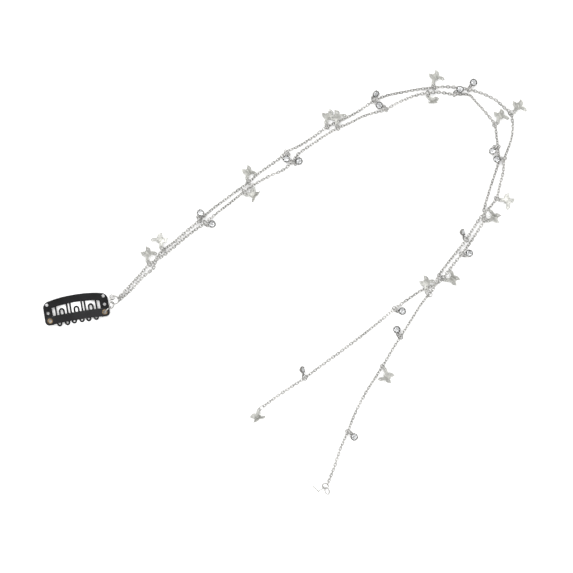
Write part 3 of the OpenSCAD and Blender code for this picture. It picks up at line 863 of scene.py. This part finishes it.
def win_y(x):
    return 7.25 - 57 + sqrt(57 ** 2 - x * x)


def arch_line(x0, x1, step=1.0):
    n = max(1, int(abs(x1 - x0) / step))
    return [(x0 + (x1 - x0) * i / n, win_y(x0 + (x1 - x0) * i / n)) for i in range(n + 1)]


def comb_right_side(cx, y):
    """The outside edge of one comb unit, from its left top to its right top."""
    h, z, q = W / 2, y + 1.28, 0.875
    out = arc((cx - 1.875, z), q + h, 180, 360, 12)
    out += arc((cx, 4.05), 1.0 - h, 180, 0, 10)
    out += arc((cx + 1.875, z), q + h, 180, 360, 12)
    return out


def comb_window(cx, y):
    h, z, q = W / 2, y + 1.28, 0.875
    out = arch_line(cx + 2.75 - h, cx - 2.75 + h)
    out += arc((cx - 1.875, z), q - h, 180, 360, 8)
    out += arc((cx, 4.05), 1.0 + h, 180, 0, 12)
    out += arc((cx + 1.875, z), q - h, 180, 360, 8)
    return out


UNITS = ((-7.1, -3.3), (0.0, -3.0), (7.0, -3.1))
# outer boundary, anticlockwise from the lower left corner
end_a = math.degrees(atan2(CORNER_Y - ARCH_C, CORNER_X))
out = arc((-HALF + 2, FOOT_Y + 2), 2, 180, 270, 10)
out += [(-11.6, FOOT_Y), (-11.6, win_y(11.6))]
x = -11.6
for cx, y in UNITS:
    out += arch_line(x, cx - 2.75 - W / 2)[1:]
    out += comb_right_side(cx, y)
    x = cx + 2.75 + W / 2
    out.append((x, win_y(x)))
out += arch_line(x, 11.6)[1:]
out += [(11.6, FOOT_Y)]
out += arc((HALF - 2, FOOT_Y + 2), 2, 270, 360, 10)
out += arc((CORNER_X, CORNER_Y), CORNER, 0, end_a, 12)
out += arc((0, ARCH_C), TOP_R, end_a, 180 - end_a, 40)[1:-1]
out += arc((-CORNER_X, CORNER_Y), CORNER, 180 - end_a, 180, 12)
holes = [comb_window(cx, y) for cx, y in UNITS]
for m in (1, -1):
    for hx, hy in ((14, 3.85), (14, 7.9)):
        holes.append(arc((m * (hx + HALF - 16), hy), 0.75, 0, 345, 23))
    holes.append(arc((m * RIVET_X, 0), 1.0, 0, 345, 23))


def dip(x):
    return 0 if abs(x) > 12.5 else BOW * (1 + cos(pi * x / 12.5)) / 2


CUTS = [i * 0.7 for i in range(-18, 19)]


def bent(mesh, z):
    v, f = mesh
    return [Vector((p.x, p.y, p.z + z - dip(p.x))) for p in v], f


frame_mesh = plate(out, holes, CLIP_T, 0.07, CUTS)
s = Soup()
s.add(*bent(frame_mesh, FRAME_Z), CLIP)
s.build("clip_plate", m_black, "black_coat", "clip_frame", sharp=42)

# the sprung bar, with its round ends
bar = []
for i in range(41):
    x = -12.78 + 2 * 12.78 * i / 40
    bar.append((x, -1.4 - 141 + sqrt(141 ** 2 - x * x)))
bar += arc((RIVET_X, 0), 2.1, -104.5, 100.5, 26)
for i in range(41):
    x = 12.9 - 2 * 12.9 * i / 40
    bar.append((x, 2.45 - 230 + sqrt(230 ** 2 - x * x)))
bar += arc((-RIVET_X, 0), 2.1, 79.5, 284.5, 26)
bar_holes = [arc((m * RIVET_X, 0), 1.0, 0, 345, 23) for m in (1, -1)]
s = Soup()
s.add(*bent(plate(bar, bar_holes, CLIP_T, 0.07, CUTS), BAR_Z), CLIP)
s.build("clip_spring", m_bar, "black_coat", "clip_bar", sharp=42)

# rolled eyelets
h = CLIP_T + 0.15
prof = [(0.75, -h + 0.06), (0.79, -h), (1.14, -h), (1.22, -h + 0.03), (1.25, -h + 0.07), (1.22, -h + 0.1), (0.98, -h + 0.1), (0.95, -h + 0.14),
        (0.95, h - 0.14), (0.98, h - 0.1), (1.22, h - 0.1), (1.25, h - 0.07), (1.22, h - 0.03), (1.12, h), (0.9, h), (0.79, h - 0.03), (0.75, h - 0.1)]
for sg, nm, node in ((-1, "rolled_eyelet_left", "eyelet_left"), (1, "rolled_eyelet_right", "eyelet_right")):
    s = Soup()
    s.add(*lathe_closed(prof, 48), CLIP @ T((sg * RIVET_X, 0, STACK_Z)))
    s.build(nm, m_brass, "brass", node, sharp=50)
